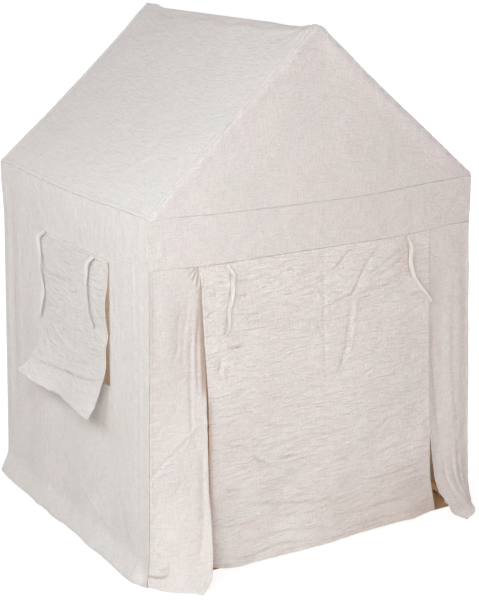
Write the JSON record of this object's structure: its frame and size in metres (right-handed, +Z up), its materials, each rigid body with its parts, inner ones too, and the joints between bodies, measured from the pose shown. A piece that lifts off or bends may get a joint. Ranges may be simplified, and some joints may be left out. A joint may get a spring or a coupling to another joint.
{
  "type": "play tent",
  "caption": "House-shaped play tent: cotton cover with a hanging door flap and a window flap, tape ties, over a frame of round wooden poles in moulded corner connectors.",
  "frame": {"origin": "middle of the tent's footprint on the floor, measured without the tape ties", "axes": "+Z up; -Y towards the front with the door flap; -X towards the side with the window"},
  "size_m": [1.152, 1.1238, 1.4288],
  "materials": {
    "canvas": "undyed plain-woven cotton canvas, washed and softly creased",
    "tape": "woven cotton tape",
    "pole_wood": "sanded pine dowel",
    "connector_plastic": "moulded white nylon"
  },
  "bodies": {
    "tent": {"roof_left": "canvas", "roof_right": "canvas", "gable_front": "canvas", "gable_back": "canvas", "valance_front": "canvas", "wall_left": "canvas", "wall_right": "canvas", "wall_back": "canvas", "jamb_left": "canvas", "jamb_right": "canvas", "post_front_left": "pole_wood", "post_front_right": "pole_wood", "post_back_left": "pole_wood", "post_back_right": "pole_wood", "rafter_front_left": "pole_wood", "rafter_front_right": "pole_wood", "rafter_back_left": "pole_wood", "rafter_back_right": "pole_wood", "eave_rail_front": "pole_wood", "eave_rail_back": "pole_wood", "eave_rail_left": "pole_wood", "eave_rail_right": "pole_wood", "floor_rail_left": "pole_wood", "floor_rail_right": "pole_wood", "floor_rail_back": "pole_wood", "ridge_pole": "pole_wood", "foot_connector_front_left": "connector_plastic", "foot_connector_front_right": "connector_plastic", "foot_connector_back_left": "connector_plastic", "foot_connector_back_right": "connector_plastic", "eave_connector_front_left": "connector_plastic", "eave_connector_front_right": "connector_plastic", "eave_connector_back_left": "connector_plastic", "eave_connector_back_right": "connector_plastic", "ridge_connector_front": "connector_plastic", "ridge_connector_back": "connector_plastic"},
    "door": {"door_flap": "canvas", "door_tie_left": "tape", "door_tie_right": "tape"},
    "window": {"window_flap": "canvas", "window_tie_front": "tape", "window_tie_back": "tape"}
  },
  "joints": [
    {"name": "door_hang", "type": "hinge", "parent": "tent", "child": "door", "pos_m": [0.0213, -0.40837, 0.8371], "axis": [-1, 0, 0], "range_deg": [-75, 150]},
    {"name": "window_hang", "type": "hinge", "parent": "tent", "child": "window", "pos_m": [-0.48447, 0.0674, 0.825], "axis": [0, 1, 0], "range_deg": [0, 150]}
  ]
}
